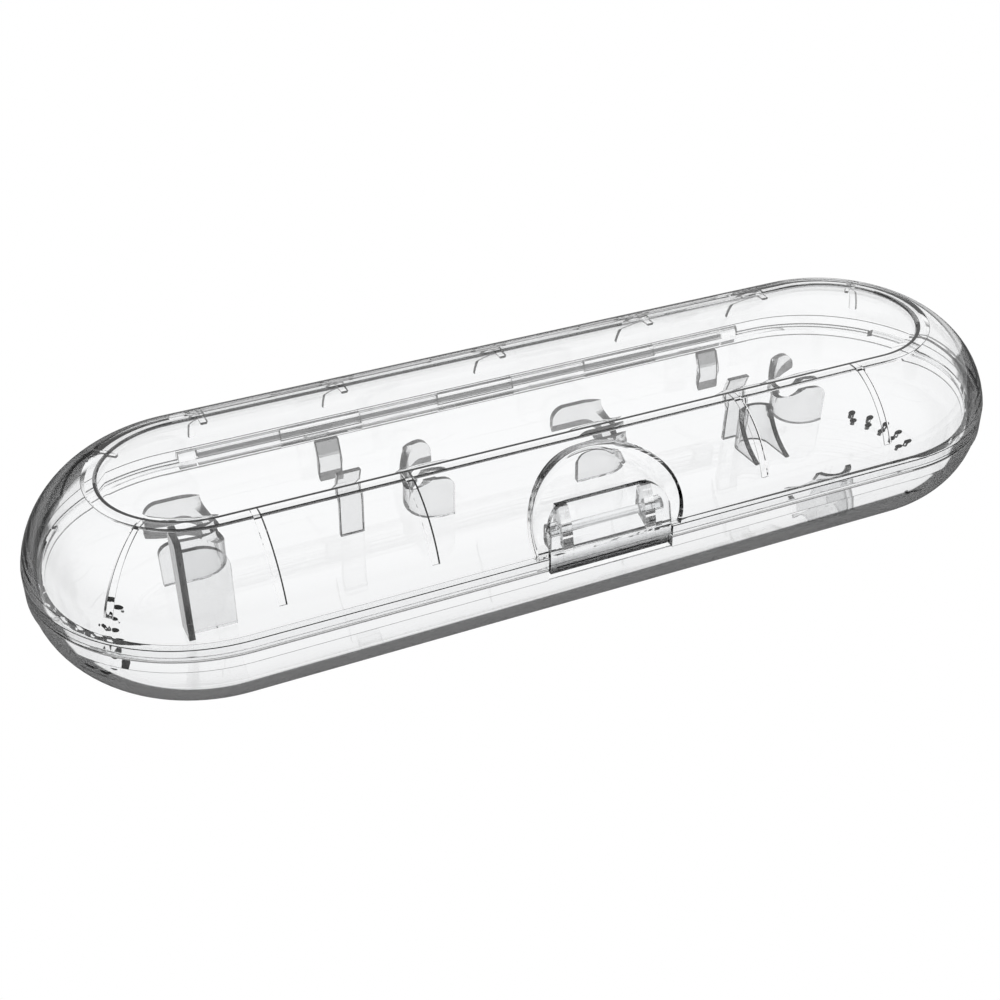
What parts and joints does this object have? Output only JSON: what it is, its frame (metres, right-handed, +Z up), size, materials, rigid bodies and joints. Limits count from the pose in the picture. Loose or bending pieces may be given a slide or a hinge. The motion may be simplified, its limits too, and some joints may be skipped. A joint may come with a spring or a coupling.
{
  "type": "electric toothbrush travel case",
  "caption": "Clear hinged travel case for an electric toothbrush, with a press latch, drain holes and moulded holders for the handle and spare brush heads.",
  "frame": {"origin": "middle of the flat bottom of the tray, where the case rests", "axes": "+X along the case to the right end seen from the latch side, +Y to the hinge at the back, +Z up through the lid"},
  "size_m": [0.228, 0.0765, 0.041],
  "materials": {
    "clear_shell": "glossy, clear",
    "clear_holder": "glossy, clear",
    "clear_clasp": "glossy, clear",
    "hinge_pin": "satin, milky",
    "latch_pin": "glossy, clear"
  },
  "bodies": {
    "tray_body": {"tray": "clear_shell", "hinge_pin": "hinge_pin", "base_cup_left": "clear_holder", "base_cup_right": "clear_holder", "head_cup_left": "clear_holder", "head_cup_right": "clear_holder", "clip_left_rear": "clear_holder", "clip_left_front": "clear_holder", "clip_right_rear": "clear_holder", "clip_right_front": "clear_holder", "cradle_rear": "clear_holder", "cradle_front": "clear_holder", "handle_stop": "clear_holder"},
    "lid_body": {"lid": "clear_shell", "latch_pin": "latch_pin"},
    "clasp_body": {"latch_clasp": "clear_clasp"}
  },
  "joints": [
    {"name": "lid_hinge", "type": "hinge", "parent": "tray_body", "child": "lid_body", "pos_m": [0, 0.0372, 0.0204], "axis": [-1, 0, 0], "range_deg": [0, 170]},
    {"name": "clasp_hinge", "type": "hinge", "parent": "lid_body", "child": "clasp_body", "pos_m": [0, -0.0329, 0.027], "axis": [-1, 0, 0], "range_deg": [0, 25]}
  ]
}
